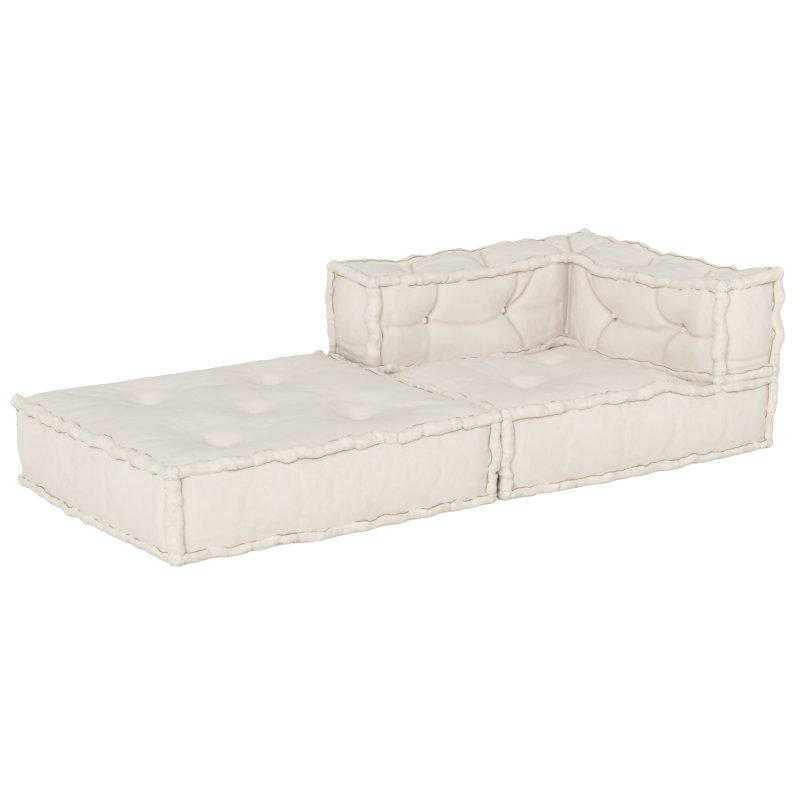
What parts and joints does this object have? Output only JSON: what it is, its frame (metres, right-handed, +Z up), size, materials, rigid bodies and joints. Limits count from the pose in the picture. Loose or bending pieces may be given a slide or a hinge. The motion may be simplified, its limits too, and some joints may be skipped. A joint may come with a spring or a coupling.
{
  "type": "modular floor sofa",
  "caption": "Low modular floor sofa in cream canvas: a square tufted ottoman, a corner seat and a loose L-shaped tufted corner back with stitched rolled edges.",
  "frame": {"origin": "on the floor, under the centre of the whole sofa's box", "axes": "+X along the front from the ottoman to the corner seat, +Y from the front to the back, +Z up"},
  "size_m": [1.8604, 0.84, 0.4841],
  "materials": {
    "canvas": "plain-weave cotton canvas, matt",
    "rolled_edge": "cotton canvas drawn round a stitched roll",
    "stuffing": "loose cotton fill",
    "twine": "waxed cotton twine"
  },
  "bodies": {
    "corner_seat": {"corner_seat_core": "stuffing", "corner_seat_top_panel": "canvas", "corner_seat_base_panel": "canvas", "corner_seat_front_panel": "canvas", "corner_seat_back_panel": "canvas", "corner_seat_left_panel": "canvas", "corner_seat_right_panel": "canvas", "corner_seat_top_rolls": "rolled_edge", "corner_seat_base_rolls": "rolled_edge", "corner_seat_corner_rolls": "rolled_edge", "corner_seat_tuft_knots": "rolled_edge", "corner_seat_tuft_twines": "twine"},
    "ottoman": {"ottoman_core": "stuffing", "ottoman_top_panel": "canvas", "ottoman_base_panel": "canvas", "ottoman_front_panel": "canvas", "ottoman_back_panel": "canvas", "ottoman_left_panel": "canvas", "ottoman_right_panel": "canvas", "ottoman_top_rolls": "rolled_edge", "ottoman_base_rolls": "rolled_edge", "ottoman_corner_rolls": "rolled_edge", "ottoman_tuft_knots": "rolled_edge", "ottoman_tuft_twines": "twine"},
    "corner_back": {"corner_back_back_core": "stuffing", "corner_back_arm_core": "stuffing", "corner_back_back_top_panel": "canvas", "corner_back_arm_top_panel": "canvas", "corner_back_back_base_panel": "canvas", "corner_back_arm_base_panel": "canvas", "corner_back_back_inner_face": "canvas", "corner_back_arm_inner_face": "canvas", "corner_back_back_outer_face": "canvas", "corner_back_arm_outer_face": "canvas", "corner_back_left_end_panel": "canvas", "corner_back_arm_end_panel": "canvas", "corner_back_top_rolls": "rolled_edge", "corner_back_base_rolls": "rolled_edge", "corner_back_corner_rolls": "rolled_edge", "corner_back_tuft_knots": "rolled_edge", "corner_back_tuft_twines": "twine"}
  },
  "joints": [
    {"name": "ottoman_pull", "type": "slide", "parent": "corner_seat", "child": "ottoman", "axis": [-1, 0, 0], "range_m": [0, 0.5]},
    {"name": "corner_back_lift", "type": "slide", "parent": "corner_seat", "child": "corner_back", "axis": [0, 0, 1], "range_m": [0, 0.35]}
  ]
}
